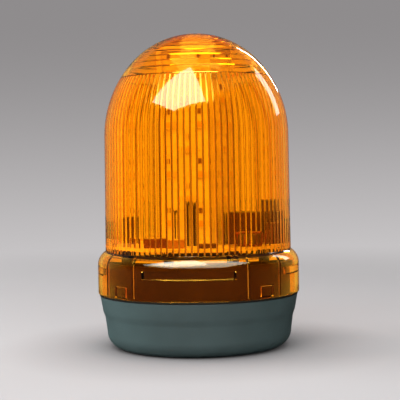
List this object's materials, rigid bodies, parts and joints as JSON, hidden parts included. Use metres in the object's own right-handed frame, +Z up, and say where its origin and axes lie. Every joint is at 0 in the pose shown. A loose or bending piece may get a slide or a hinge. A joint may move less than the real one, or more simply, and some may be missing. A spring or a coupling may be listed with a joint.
{
  "type": "warning light",
  "caption": "Amber dome warning light: ribbed bayonet lens over a square tower of light boards, with a buzzer and settings on a round board, on a cup-shaped base.",
  "frame": {"origin": "middle of the bottom face of the base", "axes": "+Z up through the lens, -Y towards the front seen in the picture, +X to its right"},
  "size_m": [0.125, 0.125, 0.1936],
  "materials": {
    "amber_lens": "clear gloss moulded polycarbonate",
    "black_rubber": "matt rubber",
    "base_plastic": "fine matt moulded grey-green",
    "ring_plastic": "matt moulded dark grey",
    "brass": "turned",
    "screw_steel": "zinc plated",
    "white_board": "white solder resist",
    "white_plastic": "moulded white",
    "wire_black": "wire insulation",
    "black_plastic": "moulded black",
    "capacitor_sleeve": "shrunk sleeve",
    "red_brown_plastic": "dipped and moulded red-brown",
    "ferrite": "sintered ferrite",
    "copper_wire": "enamelled copper",
    "green_plastic": "moulded green",
    "blue_plastic": "moulded blue",
    "light_package": "light package with phosphor window"
  },
  "bodies": {
    "base": {"lens_gasket": "black_rubber", "base_housing": "base_plastic", "mounting_seal": "black_rubber", "mount_inserts": "brass", "cable_grommet": "black_rubber", "bayonet_ring": "ring_plastic", "ring_screws": "screw_steel", "main_board": "white_board", "board_screws": "screw_steel", "tower_frame": "white_plastic", "tower_cap": "white_plastic", "tower_screws": "screw_steel", "supply_wires": "wire_black", "control_relay": "black_plastic", "buzzer_housing": "black_plastic", "buzzer_disc": "brass", "capacitor_tall": "capacitor_sleeve", "film_capacitor": "red_brown_plastic", "choke_core": "ferrite", "choke_winding": "copper_wire", "rectifier": "black_plastic", "controller_chip": "black_plastic", "terminal_block": "green_plastic", "terminal_clamps": "brass", "terminal_screws": "screw_steel", "volume_trimmer_body": "blue_plastic", "mode_switch_body": "red_brown_plastic", "led_board_1": "white_board", "leds_1": "light_package", "led_resistors_1": "black_plastic", "led_board_2": "white_board", "leds_2": "light_package", "led_resistors_2": "black_plastic", "led_board_3": "white_board", "leds_3": "light_package", "led_resistors_3": "black_plastic", "led_board_4": "white_board", "leds_4": "light_package", "led_resistors_4": "black_plastic"},
    "lens_body": {"lens": "amber_lens"},
    "volume_knob": {"volume_trimmer_rotor": "white_plastic"},
    "mode_lever_1": {"mode_switch_slider_1": "white_plastic"},
    "mode_lever_2": {"mode_switch_slider_2": "white_plastic"},
    "mode_lever_3": {"mode_switch_slider_3": "white_plastic"},
    "mode_lever_4": {"mode_switch_slider_4": "white_plastic"}
  },
  "joints": [
    {"name": "lens_twist", "type": "hinge", "parent": "base", "child": "lens_body", "pos_m": [0, 0, 0.0337], "axis": [0, 0, 1], "range_deg": [0, 30]},
    {"name": "volume_turn", "type": "hinge", "parent": "base", "child": "volume_knob", "pos_m": [-0.01318, -0.03702, 0.068], "axis": [0, 0, 1], "range_deg": [0, 270]},
    {"name": "mode_slide_1", "type": "slide", "parent": "base", "child": "mode_lever_1", "axis": [0, 1, 0], "range_m": [0, 0.002]},
    {"name": "mode_slide_2", "type": "slide", "parent": "base", "child": "mode_lever_2", "axis": [0, 1, 0], "range_m": [0, 0.002]},
    {"name": "mode_slide_3", "type": "slide", "parent": "base", "child": "mode_lever_3", "axis": [0, 1, 0], "range_m": [0, 0.002]},
    {"name": "mode_slide_4", "type": "slide", "parent": "base", "child": "mode_lever_4", "axis": [0, 1, 0], "range_m": [0, 0.002]}
  ]
}
